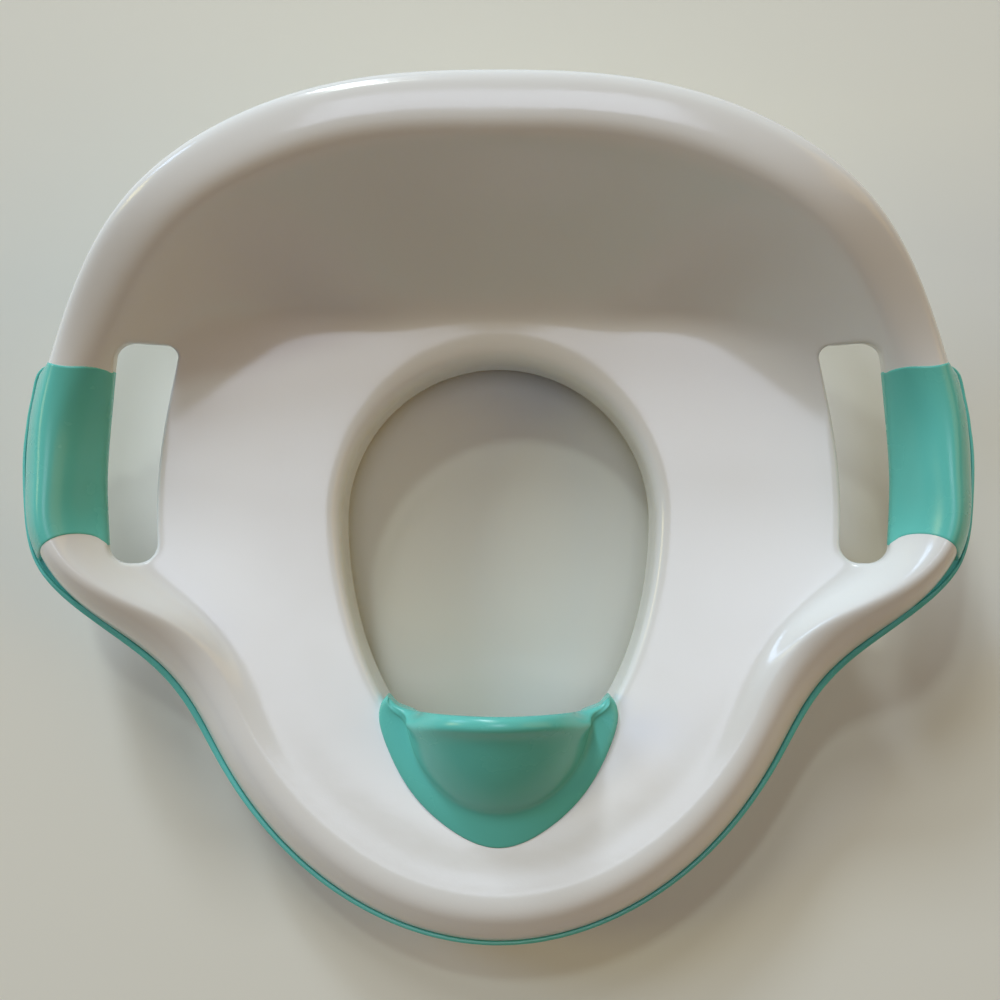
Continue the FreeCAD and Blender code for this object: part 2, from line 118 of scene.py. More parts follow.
# Grip on the handle: top line and rounded lower end, each from the slot outwards
GRIP_SLOT_LAND = 0.15          # bare rim of the shell left along the slot
GRIP_TOP = [(154.0, 43.0), (161.0, 43.3), (168.0, 43.8), (177.0, 47.2), (187.0, 53.0)]
GRIP_TOP_Y = 41.9              # where the top line and the lower end leave the slot
GRIP_LOW_Y = -26.0
GRIP_NOSE = [
    (159.2, -23.2), (164.2, -21.6), (170.5, -22.4), (176.5, -26.0), (181.5, -31.2), (187.0, -37.5),
]
GRIP_PROUD = 0.22              # how far it stands out of the shell
GRIP_DEPTH = 1.2               # and how deep it is let in
GRIP_ROUND = 0.8               # width of its rounded border
GRIP_ROUND_FALL = 0.6          # fall of the border, in its widths
GRIP_WRAP = 0.4                # how far its slot side stands out into the slot
GRIP_WRAP_SHARES = (1.0, 0.6, 0.25, 0.0)   # rows of that side, as shares of the way down
GRIP_WRAP_LAND = 0.2           # bare rim of the shell left under that side
GRIP_WRAP_DEPTH = 0.6          # and how deep it is let in there
GRIP_FLARE_SPANS = 1.8         # spans of the sections over which it flares out to the non-slip edge
GRIP_FLARE_POWER = 1.5

# Non-slip edge: how far it reaches out of the shell and how far its groove runs outside the shell's
# edge, by plan angle. By the tops of the handles it flares out more than the solid.
EDGE_START = 75.0
EDGE_REACH = [
    (75, 0.6), (76.2, 4.6), (77, 5.8), (78, 5.7), (80, 4.8), (84, 3.8),
    (95, 3.9), (104, 3.6), (116, 3.4), (136, 3.0), (165, 2.6), (180, 2.4),
]
EDGE_SHIFT = [
    (75, 0.0), (76.2, 2.8), (77, 4.0), (78, 3.9), (80, 3.0), (84, 2.0), (100, 2.1), (107, 0.0),
]
EDGE_TUCK = 4.5                # how far it reaches under the shell
EDGE_TUCK_ROUND = 0.5          # bevel of its lower inner edge
EDGE_HOOK = 1.5                # how far it hooks up behind the shell
EDGE_HOOK_ROUND = 0.4
EDGE_DEPTH = 5.4               # how far it hangs below the shell
EDGE_LAP = 0.8                 # how far it is laid into the shell's edge, across and up
EDGE_LAP_UP = 0.3
EDGE_GROOVE = 0.5              # dark line between it and the shell: fall, width and depth
EDGE_GROOVE_WIDE = 0.55
EDGE_GROOVE_DEEP = 1.4
EDGE_GROOVE_SHARE = 0.4        # of the reach, its widest where the edge is narrow
EDGE_ROUND = 0.9               # rounding of its outer side
EDGE_ROUND_SHARE = 0.4         # of the width outside the groove, its widest where that is narrow
EDGE_ROUND_LEAST = 0.05

# Locating collar and ribs under the seat
COLLAR_GAP = 15.0              # outside the hole's edge
COLLAR_WALL = 2.6
COLLAR_ROUND = 0.6             # rounding of its lower edge
COLLAR_CORNER = 0.3            # middle of that rounding, as a share of it
COLLAR_BAND = 12.0             # height of a row that keeps its upright sides flat
RIB_ANGLES = (24, 58, 112, 134, 158)
RIB_THICK = 2.2
RIB_DEPTH = 12.0

# Splash guard, its right half from the upper corner round to the tip, one line each: turn,
# flange's edge, crease where the dome stands on it, bar along the top, rise and radius of the bar
GUARD_SECTIONS = np.array([
    (-30, 45.2, -87.2, 44.7, -87.7, 44.2, -88.2, 0.0, 1.0),
    (-22, 47.4, -90.0, 45.2, -90.4, 43.4, -90.6, 0.2, 1.6),
    (-12, 48.6, -93.5, 42.8, -93.9, 40.4, -92.6, 0.9, 2.2),
    (0, 48.8, -97.5, 39.0, -97.3, 36.6, -94.2, 2.8, 2.8),
    (22, 45.6, -108.5, 34.6, -110.2, 32.8, -95.2, 12.0, 3.2),
    (47, 34.0, -129.0, 24.9, -124.1, 24.5, -94.8, 25.0, 3.2),
    (68, 17.5, -143.6, 13.7, -131.5, 13.5, -94.6, 31.5, 3.2),
    (90, 0.0, -149.7, 0.0, -134.3, 0.0, -94.6, 34.0, 3.2),
])
GUARD_TIP_Z = 48.3             # seat surface under the flange's edge, at its tip and at its sides
GUARD_SIDE_Z = 46.6
GUARD_FLANGE = 3.0             # thickness of the flange
GUARD_LEAN = 1.6               # how far the flange leans down to its edge at the tip
GUARD_SKIN = 2.3               # thickness of the dome, measured across and down
GUARD_SINK = 8.0               # how far its wall is drawn below the seat
GUARD_HOLLOW_RISE = 12.0       # rise of the bar from which the dome is fully hollow
GUARD_NARROW = 0.28            # widest inner roll of the bar, as a share of the way to the crease
BAR_OVERHANG = 1.3             # roll of the bar towards the hole, in its own radii
GUARD_SEAT = 1.2               # how far its foot is let into the shell
GUARD_SEAT_MARGIN = 0.2        # outside the hole's edge, where that starts
GUARD_SEAT_SQUEEZE = 0.03      # what is left of the heights below its foot

# Mesh density
AROUND = 480                   # columns round the seat
PER_SPAN = 6                   # rows in each span of the sections
SECTION_STEPS = 48             # sections round the whole seat
FIND_STEPS = 40                # halvings of a search over the skin
SLOT_ANGLES = (61.5, 108.75)   # window of the grid that each slot is worked into
SLOT_SPANS = (3.5, 8.5)
SLOT_FAN = 8                   # layers between the window and the slot's rounded edge
SLOT_ROLL_SHARES = (0.0, 0.05, 0.14, 0.28, 0.46, 0.70, 1.0)    # layers over that rounding
CORNER_STEPS = 40              # points round a corner of the slot
SIDE_STEPS = 200               # points along a side of it
COLLAR_STEPS = 192
RIB_STEPS = 40
GRIP_ROWS = 84                 # from the slot over the handle to the shell's edge
GRIP_COLUMNS = 110             # from the lower end to the top line
GRIP_SIDE_STEPS = 400          # of its outline before it is spread evenly
GRIP_END_STEPS = 3000
EDGE_COLUMNS = 480
EDGE_ROUND_STEPS = 13
GUARD_COLUMNS = 260
GUARD_AROUND = 136             # points round its wall's section

# What follows from them
FRONT_REACH = SECTIONS[-1][1] + EDGE_REACH[-1][1]
BACK_REACH = SECTIONS[0][1]
PLAN_CENTRE = np.array([0.0, (FRONT_REACH - BACK_REACH) / 2.0, 0.0])


# Splines

def cubic(start, stop, bend_start, bend_stop, share, length):
    """A cubic between two values, by its second derivatives there."""
    rest = 1 - share
    bend = (rest ** 3 - rest) * bend_start + (share ** 3 - share) * bend_stop
    return rest * start + share * stop + bend * length * length / 6


def closed_spline(params, values, period):
    """Closed cubic spline through values, with continuous curvature, as a function."""
    params = np.asarray(params, float)
    values = np.asarray(values, float)
    flat = values.reshape(len(params), -1)
    n = len(params)
    step = np.diff(np.append(params, params[0] + period))
    matrix = np.zeros((n, n))
    right = np.zeros_like(flat)
    for i in range(n):
        before, after = step[i - 1], step[i]
        matrix[i, i - 1] += before / 6
        matrix[i, i] += (before + after) / 3
        matrix[i, (i + 1) % n] += after / 6
        right[i] = (flat[(i + 1) % n] - flat[i]) / after - (flat[i] - flat[i - 1]) / before
    bend = np.linalg.solve(matrix, right)

    def value(at):
        at = (np.asarray(at, float) - params[0]) % period + params[0]
        i = np.clip(np.searchsorted(params, at, side="right") - 1, 0, n - 1)
        j = (i + 1) % n
        share = ((at - params[i]) / step[i])[:, None]
        out = cubic(flat[i], flat[j], bend[i], bend[j], share, step[i][:, None])
        return out.reshape((len(at),) + values.shape[1:])

    return value


def open_spline(params, values, at):
    """Cubic spline through values at rising parameters, with straight ends, read at given ones."""
    params = np.asarray(params, float)
    values = np.asarray(values, float)
    flat = values.reshape(len(params), -1)
    n = len(params)
    step = np.diff(params)
    matrix = np.eye(n)
    right = np.zeros_like(flat)
    for i in range(1, n - 1):
        matrix[i, i - 1:i + 2] = step[i - 1] / 6, (step[i - 1] + step[i]) / 3, step[i] / 6
        right[i] = (flat[i + 1] - flat[i]) / step[i] - (flat[i] - flat[i - 1]) / step[i - 1]
    bend = np.linalg.solve(matrix, right)
    at = np.asarray(at, float)
    i = np.clip(np.searchsorted(params, at, side="right") - 1, 0, n - 2)
    share = ((at - params[i]) / step[i])[:, None]
    out = cubic(flat[i], flat[i + 1], bend[i], bend[i + 1], share, step[i][:, None])
    return out.reshape((len(at),) + values.shape[1:])


def lengths_along(points):
    """The length from the first point of a row to each of its points."""
    return np.concatenate([[0], np.cumsum(np.linalg.norm(np.diff(points, axis=0), axis=1))])


def along(points, count):
    """A smooth row of many points through a few, by the length between them."""
    points = np.asarray(points, float)
    length = lengths_along(points)
    return open_spline(length, points, np.linspace(0, length[-1], count))


def resample(points, count):
    """Points spread evenly along a row, both ends kept."""
    length = lengths_along(points)
    keep = np.concatenate([[True], np.diff(length) > 1e-9])
    at = np.linspace(0, length[-1], count)
    columns = [np.interp(at, length[keep], column) for column in points[keep].T]
    return np.stack(columns, axis=1)


def clamped_weights(count, at):
    """Cubic B-spline weights of a clamped, evenly knotted row of control points."""
    inner_knots = np.arange(count - 2, dtype=float)
    knots = np.concatenate([np.zeros(3), inner_knots, np.full(3, count - 3.0)])
    at = np.clip(np.asarray(at, float), 0, count - 3 - 1e-9)
    weights = np.zeros((len(at), len(knots) - 1))
    for i in range(len(knots) - 1):
        weights[:, i] = (knots[i] <= at) & (at < knots[i + 1])
    for degree in (1, 2, 3):
        higher = np.zeros((len(at), len(knots) - 1 - degree))
        for i in range(higher.shape[1]):
            left = knots[i + degree] - knots[i]
            right = knots[i + degree + 1] - knots[i + 1]
            if left > 0:
                higher[:, i] += (at - knots[i]) / left * weights[:, i]
            if right > 0:
                higher[:, i] += (knots[i + degree + 1] - at) / right * weights[:, i + 1]
        weights = higher
    return weights


def closed_bspline(control, samples):
    """Points of a closed even cubic B-spline with the given control rows."""
    count = len(control)
    at = np.arange(samples) * count / samples
    i = at.astype(int)
    t = (at - i)[:, None, None]
    p0, p1, p2, p3 = (control[(i + k - 1) % count] for k in range(4))
    return (
        (1 - t) ** 3 * p0 + (3 * t ** 3 - 6 * t ** 2 + 4) * p1
        + (-3 * t ** 3 + 3 * t ** 2 + 3 * t + 1) * p2 + t ** 3 * p3
    ) / 6


def table(*columns):
    """Columns of the sections as smooth functions of the angle, right and left alike."""
    right = SECTIONS[:, 0]
    angles = np.concatenate([right, 360 - right[-2:0:-1]])
    rows = np.concatenate([SECTIONS, SECTIONS[-2:0:-1]])
    return closed_spline(angles, rows[:, columns], 360.0)


EDGE_TABLE = table(1, 2, 7)
CREST_TABLE = table(3, 4)
FOOT_TABLE = table(5, 6)


# Shell sections

def mix(a, b, share):
    return a + (b - a) * share


def by_angle(points, angle):
    """A value given at some plan angles, read between them, right and left alike."""
    return np.interp(np.minimum(angle, 360.0 - angle), *zip(*points))


def hole_radius(angle, grow=0.0):
    """Distance from the plan's centre to the hole's edge, grown outwards by a margin."""
    across = math.sin(math.radians(angle))
    ahead = math.cos(math.radians(angle))
    half = HOLE_HALF_WIDTH + grow
    back = HOLE_OFFSET * ahead + math.sqrt(half ** 2 - (HOLE_OFFSET * across) ** 2)
    if back * ahead >= HOLE_OFFSET:
        return back
    front = HOLE_FRONT + grow
    a = (across / half) ** 2 + (ahead / front) ** 2
    b = -2 * HOLE_OFFSET * ahead / front ** 2
    c = (HOLE_OFFSET / front) ** 2 - 1
    return (-b + math.sqrt(b * b - 4 * a * c)) / (2 * a)


def section(angle):
    """Control points of the outer skin, radius and height, from the edge over the crest inwards."""
    edge_r, edge_z, side = EDGE_TABLE([angle])[0]
    crest_r, crest_z = CREST_TABLE([angle])[0]
    foot_r, foot_z = FOOT_TABLE([angle])[0]
    side = min(1.0, max(0.0, side))
    rise = crest_z - edge_z
    run = edge_r - crest_r
    drop = crest_z - foot_z
    reach = crest_r - foot_r
    chord = math.hypot(reach - BACK_SHOULDER, drop)
    inward = (reach - BACK_SHOULDER) / chord
    down = drop / chord
    shallow = max(0.0, 1 - drop / SHALLOW_DROP)

    def wall(run_down, bow, shares):
        """A point of the wall: down the backrest's chord and hollowed, or by the side's shares."""
        back_r = crest_r - BACK_SHOULDER - inward * run_down + down * bow * BACK_BOW
        back_z = crest_z - BACK_SHOULDER_FALL - down * run_down - inward * bow * BACK_BOW
        fall = mix(shares[1], shares[0], shallow)
        side_r, side_z = crest_r - shares[0] * reach, crest_z - fall * drop
        return mix(back_r, side_r, side), mix(back_z, side_z, side)

    hole = hole_radius(angle)
    behind = (1 + math.cos(math.radians(angle))) / 2
    lip = mix(LIP_FRONT, LIP_BACK, behind)
    lip_z = mix(LIP_FRONT_Z, LIP_BACK_Z, behind)
    lip_r = hole + lip
    high_in = mix(RIM_HIGH_IN[0], RIM_HIGH_IN[1] * run, side)
    top_over = mix(RIM_TOP_OVER[0], RIM_TOP_OVER[1] * rise, side)
    rim = [
        (edge_r, edge_z),
        (edge_r - mix(*RIM_LOW_IN, side) * run, edge_z + RIM_LOW_UP * rise),
        (edge_r - high_in, edge_z + RIM_HIGH_UP * rise),
        (edge_r - mix(*RIM_TOP_IN, side) * run, crest_z + top_over),
        (crest_r, crest_z + mix(*CREST_OVER, side) * (1 - shallow)),
    ]
    runs_down = (0.0, BACK_ROLL, BACK_MIDDLE * chord, chord - BACK_FOOT_ROLLS * BACK_ROLL)
    walls = [wall(*point) for point in zip(runs_down, BACK_BOW_SHARES, SIDE_ROLL)]
    seat = [
        (mix(foot_r, lip_r, across), mix(foot_z, lip_z, fall)) for across, fall in SEAT_POINTS
    ]
    roll = [(hole + across * lip, lip_z - fall * lip) for across, fall in LIP_ROLL]
    return np.array(
        rim + walls + [(foot_r, foot_z)] + seat + [(lip_r, lip_z)] + roll + [(hole, HOLE_EDGE_Z)]
    )


def offset_section(points, height):
    """The control points moved square to their legs: out of the skin, or into the wall."""
    legs = np.diff(points, axis=0)
    legs /= np.linalg.norm(legs, axis=1)[:, None]
    before = np.vstack([legs[:1], legs])
    after = np.vstack([legs, legs[-1:]])
    total = before + after
    out = np.stack([total[:, 1], -total[:, 0]], axis=1)
    half = np.linalg.norm(out, axis=1)[:, None] / 2
    return points + out / (2 * half) * height / half


def turned(rows, angles):
    """Rows of radius and height, one at each angle, as points in space."""
    turn = np.radians(angles)[:, None]
    radius, z = rows[..., 0], rows[..., 1]
    return np.stack([radius * np.sin(turn), radius * np.cos(turn), z], axis=2)


class Skin:
    """The moulded skin at one height over the outer surface, read by angle and span."""

    def __init__(self, height):
        angles = np.arange(SECTION_STEPS) * 360.0 / SECTION_STEPS
        rows = np.array([offset_section(section(angle), height) for angle in angles])
        rings = turned(rows, angles)
        self.count = rings.shape[1]
        self.rings = closed_spline(angles, rings, 360.0)

    def __call__(self, angles, spans):
        """Points at pairs of angle and span; span 0 is the outer edge and the last the hole's."""
        angles = np.asarray(angles, float)
        control = self.rings(angles)
        weights = clamped_weights(self.count, spans)
        return np.einsum("ij,ijk->ik", weights, control)

    def find(self, x, y):
        """Angle and span over points in plan, between the outer edge and the hole's wall."""
        angles = np.degrees(np.arctan2(x, y)) % 360
        radius = np.hypot(x, y)
        low = np.zeros(len(radius))
        high = np.full(len(radius), self.count - 4.0)
        for _ in range(FIND_STEPS):
            middle = (low + high) / 2
            points = self(angles, middle)
            far = np.hypot(points[:, 0], points[:, 1]) > radius
            low = np.where(far, middle, low)
            high = np.where(far, high, middle)
        return angles, (low + high) / 2

    def heights(self, plan):
        return self(*self.find(plan[:, 0], plan[:, 1]))[:, 2]


TOP = Skin(0.0)
MIDDLE = Skin(-WALL / 2.0)
UNDER = Skin(-WALL)
LAST_SPAN = TOP.count - 3.0


# Meshes

class Builder:
    """Collects points and faces of one piece, in millimetres round the plan's centre."""

    def __init__(self):
        self.points = []
        self.faces = []

    def add(self, points):
        first = sum(len(block) for block in self.points)
        self.points.append(np.asarray(points, float))
        return first + np.arange(len(points))

    def add_grid(self, points):
        return self.add(points.reshape(-1, 3)).reshape(points.shape[:2])

    def quads(self, grid, flip=False, closed_rows=False, closed_columns=False, skip=None):
        rows, columns = grid.shape
        for i in range(rows if closed_rows else rows - 1):
            for j in range(columns if closed_columns else columns - 1):
                if skip is not None and skip(i, j):
                    continue
                a, b = grid[i, j], grid[(i + 1) % rows, j]
                c, d = grid[(i + 1) % rows, (j + 1) % columns], grid[i, (j + 1) % columns]
                self.faces.append((a, d, c, b) if flip else (a, b, c, d))

    def make(self, name, material, sharp_deg=35.0):
        """The piece as a smooth mesh in metres."""
        mesh = bpy.data.meshes.new(name)
        vertices = (np.vstack(self.points) + PLAN_CENTRE) * MM
        mesh.from_pydata(vertices.tolist(), [], [tuple(face) for face in self.faces])
        mesh.validate()
        obj = bpy.data.objects.new(name, mesh)
        bpy.context.collection.objects.link(obj)
        mesh.materials.append(material)
        mesh.shade_smooth()
        mesh.set_sharp_from_angle(angle=math.radians(sharp_deg))
        return obj


# Handle slots

def circle_through(points):
    """Centre and radius of the circle through three points in plan."""
    (ax, ay), (bx, by), (cx, cy) = points
    matrix = np.array([[bx - ax, by - ay], [cx - ax, cy - ay]])
    square = ax * ax + ay * ay
    right = np.array([bx * bx + by * by - square, cx * cx + cy * cy - square]) / 2
    centre = np.linalg.solve(matrix, right)
    return centre, np.linalg.norm(centre - points[0])


SLOT_INNER_BOW = circle_through(SLOT_INNER)
SLOT_OUTER_BOW = circle_through(SLOT_OUTER)


def on_bow(bow, y, grow=0.0):
    """Points of a slot's bowed side at given heights of the plan, moved outwards by a margin."""
    centre, radius = bow
    y = np.asarray(y, float)
    return np.stack([centre[0] + np.sqrt((radius + grow) ** 2 - (y - centre[1]) ** 2), y], axis=-1)


def slot_corner(bow, inner, line_y, radius):
    """A round corner of the slot, from its top or bottom line to a bowed side."""
    centre, bow_radius = bow
    into = -1 if line_y > 0 else 1
    reach = bow_radius + radius if inner else bow_radius - radius
    y = line_y + into * radius
    middle = np.array([centre[0] + math.sqrt(reach ** 2 - (y - centre[1]) ** 2), y])
    away = (middle - centre) / reach * (-1 if inner else 1)
    start = math.atan2(-into, 0)
    stop = math.atan2(away[1], away[0])
    stop += 2 * math.pi * round((start - stop) / (2 * math.pi))
    turn = np.linspace(start, stop, CORNER_STEPS)
    return middle + radius * np.stack([np.cos(turn), np.sin(turn)], axis=1)


def slot_sides():
    """The slot's outline as four rows of points, split at the middles of its corners."""
    top_in = slot_corner(SLOT_INNER_BOW, True, SLOT_TOP_Y, SLOT_TOP_INNER_R)
    top_out = slot_corner(SLOT_OUTER_BOW, False, SLOT_TOP_Y, SLOT_TOP_OUTER_R)
    low_in = slot_corner(SLOT_INNER_BOW, True, SLOT_BOTTOM_Y, SLOT_BOTTOM_R)
    low_out = slot_corner(SLOT_OUTER_BOW, False, SLOT_BOTTOM_Y, SLOT_BOTTOM_R)
    inner = on_bow(SLOT_INNER_BOW, np.linspace(low_in[-1, 1], top_in[-1, 1], SIDE_STEPS))
    outer = on_bow(SLOT_OUTER_BOW, np.linspace(top_out[-1, 1], low_out[-1, 1], SIDE_STEPS))
    half = CORNER_STEPS // 2
    return (
        np.vstack([low_in[half:], inner[1:-1], top_in[:half - 1:-1]]),
        np.vstack([top_in[half::-1], top_out[:half + 1]]),
        np.vstack([top_out[half:], outer[1:-1], low_out[:half - 1:-1]]),
        np.vstack([low_out[half::-1], low_in[:half + 1]]),
    )


def slot_loop(columns, rows):
    """Outline points that match, one to one, the sides of a window of the grid."""
    inner_side, top, outer_side, bottom = slot_sides()
    sides = ((top, rows), (inner_side, columns), (bottom, rows), (outer_side, columns))
    return np.vstack([resample(side[::-1], count + 1)[:-1] for side, count in sides])


def window_of(first, last, outer, inner):
    """Grid places round a window, as pairs of column and row."""
    near = [(first, j) for j in range(outer, inner)]
    far = [(i, inner) for i in range(first, last)]
    back = [(last, j) for j in range(inner, outer, -1)]
    home = [(i, outer) for i in range(last, first, -1)]
    return np.array(near + far + back + home)


def roll_drop(gap):
    """How far the slot's rounded edge lies under the skin, by the distance from the slot."""
    inside = np.clip(SLOT_ROLL - gap, 0, SLOT_ROLL)
    return SLOT_ROLL - np.sqrt(SLOT_ROLL ** 2 - inside ** 2)


def slot_layers(skin, on_top, window_at, loop):
    """Rows of points from a window of the grid to the slot's outline, rounded on the upper skin."""
    loop_at = np.stack(skin.find(loop[:, 0], loop[:, 1]), axis=1)
    width = np.linalg.norm(skin(window_at[:, 0], window_at[:, 1])[:, :2] - loop, axis=1)
    rounded = SLOT_ROLL / width
    shares = [rounded * share for share in (SLOT_ROLL_SHARES if on_top else (0.0, 1.0))]
    shares += [mix(rounded, 1.0, i / SLOT_FAN) for i in range(1, SLOT_FAN)]
    layers = []
    for share in reversed(shares):
        at = mix(loop_at, window_at, share[:, None])
        points = skin(at[:, 0], at[:, 1])
        if on_top:
            points[:, 2] -= roll_drop(np.linalg.norm(points[:, :2] - loop, axis=1))
        layers.append(points)
    return layers


# Shell

def build_shell(material):
    """The moulded shell: outer and inner skins, joined round the rims and through the two slots."""
    spans = np.linspace(0, LAST_SPAN, int(LAST_SPAN * PER_SPAN) + 1)
    angles = np.arange(AROUND) * 360.0 / AROUND
    first, last = (int(round(angle * AROUND / 360.0)) for angle in SLOT_ANGLES)
    outer, inner = (int(round(span * PER_SPAN)) for span in SLOT_SPANS)
    right_window = window_of(first, last, outer, inner)
    right_loop = slot_loop(last - first, inner - outer)

    def in_window(i, j):
        beside = first <= i < last or AROUND - last <= i < AROUND - first
        return beside and outer <= j < inner

    build = Builder()
    angle_grid, span_grid = np.meshgrid(angles, spans, indexing="ij")
    rims = []
    slot_rims = {1: [], -1: []}
    for skin, on_top in ((TOP, True), (UNDER, False)):
        ids = build.add(skin(angle_grid.ravel(), span_grid.ravel())).reshape(angle_grid.shape)
        build.quads(ids, flip=on_top, closed_rows=True, skip=in_window)
        rims.append(ids)
        for side in (1, -1):
            window = right_window * [side, 1] + [0 if side > 0 else AROUND, 0]
            columns, rows = window[:, 0] % AROUND, window[:, 1]
            window_at = np.stack([angles[columns], spans[rows]], axis=1)
            layers = [ids[columns, rows]]
            for points in slot_layers(skin, on_top, window_at, right_loop * [side, 1]):
                layers.append(build.add(points))
            build.quads(np.array(layers), flip=on_top != (side < 0), closed_columns=True)
            slot_rims[side].append(layers[-1])
    for index, flip in ((0, True), (-1, False)):
        rim = np.array([ids[:, index] for ids in rims])
        build.quads(rim, flip=flip, closed_columns=True)
    for side, pair in slot_rims.items():
        build.quads(np.array(pair), flip=side > 0, closed_columns=True)
    return build.make("Seat_Shell", material)


# Underside: locating collar and ribs

def hole_ring(grow):
    """The hole's outline in plan, grown outwards: a half circle and a half ellipse."""
    turn = np.linspace(0, 2 * math.pi, COLLAR_STEPS, endpoint=False)
    ahead = np.where(np.cos(turn) >= 0, HOLE_HALF_WIDTH, HOLE_FRONT) + grow
    across = HOLE_HALF_WIDTH + grow
    return np.stack([across * np.sin(turn), HOLE_OFFSET + ahead * np.cos(turn)], axis=1)


def at_height(plan, z):
    return np.column_stack([plan, np.broadcast_to(z, len(plan))])


def add_collar(build):
    """Upright wall that the seat stands on, with a rounded lower edge."""
    inner = hole_ring(COLLAR_GAP)
    outer = hole_ring(COLLAR_GAP + COLLAR_WALL)
    inner_low = hole_ring(COLLAR_GAP + COLLAR_ROUND)
    outer_low = hole_ring(COLLAR_GAP + COLLAR_WALL - COLLAR_ROUND)
    rows = [
        at_height(inner, MIDDLE.heights(inner)),
        at_height(inner, COLLAR_BAND),
        at_height(inner, COLLAR_ROUND),
        at_height(mix(inner, inner_low, COLLAR_CORNER), COLLAR_ROUND * COLLAR_CORNER),
        at_height(inner_low, 0.0),
        at_height(outer_low, 0.0),
        at_height(mix(outer, outer_low, COLLAR_CORNER), COLLAR_ROUND * COLLAR_CORNER),
        at_height(outer, COLLAR_ROUND),
        at_height(outer, COLLAR_BAND),
        at_height(outer, MIDDLE.heights(outer)),
    ]
    grid = np.array([build.add(row) for row in rows])
    build.quads(grid, closed_rows=True, closed_columns=True)


def add_ribs(build, angle):
    """A rib under the seat, from the collar to below the crest, and its mirror image."""
    turn = math.radians(angle)
    outward = np.array([math.sin(turn), math.cos(turn)])
    across = np.array([outward[1], -outward[0]])
    start = hole_radius(angle, COLLAR_GAP + COLLAR_WALL / 2)
    spine = np.linspace(start, CREST_TABLE([angle])[0][0], RIB_STEPS)[:, None] * outward
    z = MIDDLE.heights(spine)
    for side in (1, -1):
        rows = []
        for shift, depth in ((-1, 0.0), (-1, RIB_DEPTH), (1, RIB_DEPTH), (1, 0.0)):
            plan = (spine + across * shift * RIB_THICK / 2) * np.array([side, 1])
            rows.append(build.add(at_height(plan, z - depth)))
        grid = np.array(rows)
        build.quads(grid, closed_rows=True, flip=side > 0)
        near, far = tuple(grid[:, 0]), tuple(grid[:, -1])
        build.faces += [near[::-1], far] if side > 0 else [near, far[::-1]]


def build_underside(material):
    """What is moulded under the shell: the collar, and the ribs that stiffen the seat."""
    build = Builder()
    add_collar(build)
    for angle in RIB_ANGLES:
        add_ribs(build, angle)
    return build.make("Seat_Underside", material)


# Grips

def on_skin(plan, count):
    """Angle and span of a row over the skin, spread evenly along it, up to the shell's edge."""
    at = np.stack(TOP.find(plan[:, 0], plan[:, 1]), axis=1)
    beyond = np.nonzero(at[:, 1] < 1e-6)[0]
    if len(beyond):
        at = at[:beyond[0] + 1]
    points = TOP(at[:, 0], at[:, 1])
    return resample(np.column_stack([points, at]), count)[:, 3:]


def grip_patch():
    """Angle and span over the grip: rows from slot to shell's edge, columns from nose to top."""
    beside = on_bow(
        SLOT_OUTER_BOW, np.linspace(GRIP_LOW_Y, GRIP_TOP_Y, GRIP_SIDE_STEPS), GRIP_SLOT_LAND
    )
    slot_side = on_skin(beside, GRIP_COLUMNS)
    low = on_skin(along([beside[0]] + GRIP_NOSE, GRIP_END_STEPS), GRIP_ROWS)
    top = on_skin(along([beside[-1]] + GRIP_TOP, GRIP_END_STEPS), GRIP_ROWS)
    edge_angles = np.linspace(low[-1, 0], top[-1, 0], GRIP_COLUMNS)
    edge = np.stack([edge_angles, np.zeros(GRIP_COLUMNS)], axis=1)
    u = np.linspace(0, 1, GRIP_ROWS)[:, None, None]
    v = np.linspace(0, 1, GRIP_COLUMNS)[None, :, None]
    return (
        (1 - u) * slot_side[None] + u * edge[None] + (1 - v) * low[:, None] + v * top[:, None]
        - (1 - u) * (1 - v) * low[0] - u * (1 - v) * low[-1]
        - (1 - u) * v * top[0] - u * v * top[-1]
    )


def grid_normals(points):
    """Upward unit normals of a grid of points."""
    normal = np.cross(np.gradient(points, axis=0), np.gradient(points, axis=1))
    normal /= np.linalg.norm(normal, axis=2)[..., None]
    return normal * np.sign(normal[..., 2].sum())


def border_fall(points, width):
    """For each point of a grid, 1 at its border but for row 0, falling like a quarter circle."""
    border = np.concatenate([points[-1], points[:, 0], points[:, -1]])
    gap = np.array([
        np.linalg.norm(row[:, None] - border[None], axis=2).min(axis=1) for row in points
    ])
    return 1 - np.sqrt(1 - np.clip(1 - gap / width, 0, 1) ** 2)


def grid_rim(ids):
    return np.concatenate([ids[0, :-1], ids[:-1, -1], ids[-1, :0:-1], ids[:0:-1, 0]])


def slot_wrap(row):
    """Rows of points that carry the grip's slot side down the slot's wall, lowest first."""
    centre, _ = SLOT_OUTER_BOW
    into = centre - row[:, :2]
    into *= GRIP_WRAP / np.linalg.norm(into, axis=1)[:, None]
    foot = UNDER.heights(row[:, :2]) + GRIP_WRAP_LAND
    brow = row[:, 2] - SLOT_ROLL
    plan = row[:, :2] + into
    return np.array([at_height(plan, mix(brow, foot, share)) for share in GRIP_WRAP_SHARES])


